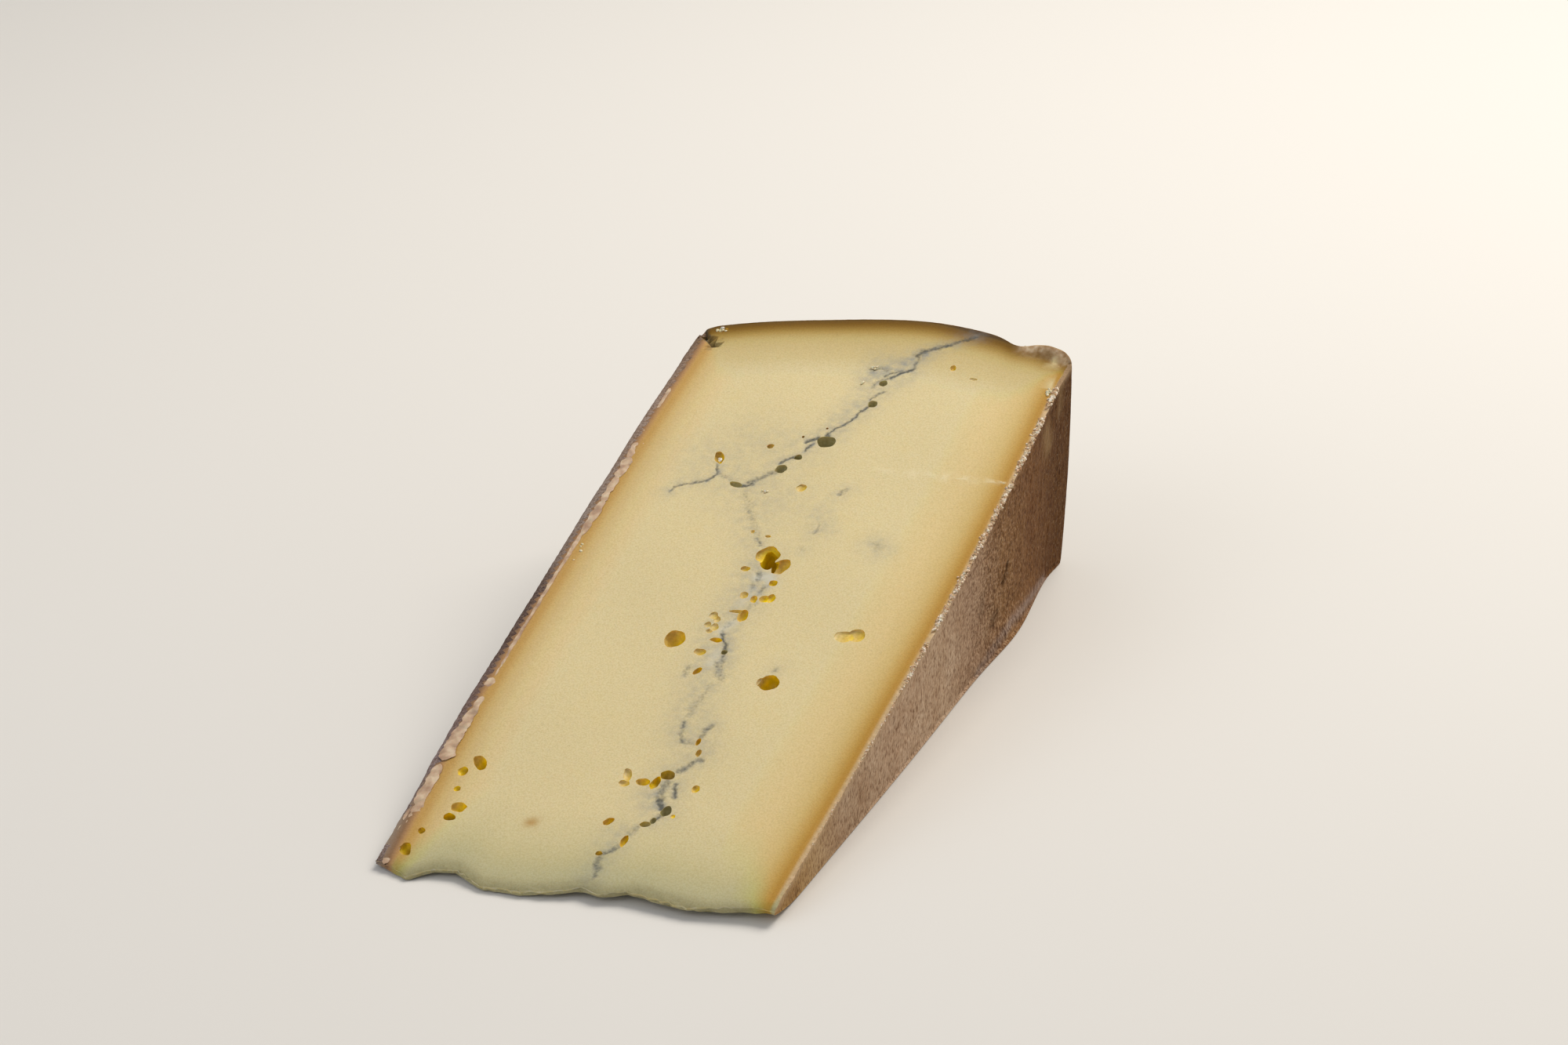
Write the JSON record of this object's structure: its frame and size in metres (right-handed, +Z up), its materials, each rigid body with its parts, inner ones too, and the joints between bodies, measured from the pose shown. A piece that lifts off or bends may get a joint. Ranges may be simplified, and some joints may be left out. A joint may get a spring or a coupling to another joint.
{
  "type": "cheese wedge",
  "caption": "Wedge of semi-soft washed-rind cheese with small eyes and an ash line through its middle, lying on a cut face.",
  "frame": {"origin": "middle of the bottom of the wedge's box, on the surface that it lies on", "axes": "+Z up, +Y from the thin tip towards the heel, +X across the wheel's height towards the flat side whose rind shows"},
  "size_m": [0.0784, 0.1632, 0.0464],
  "materials": {
    "cheese": "soft satin ivory-yellow paste with a matt brown-pink rind"
  },
  "bodies": {
    "root": {"cheese_wedge": "cheese"}
  },
  "joints": []
}
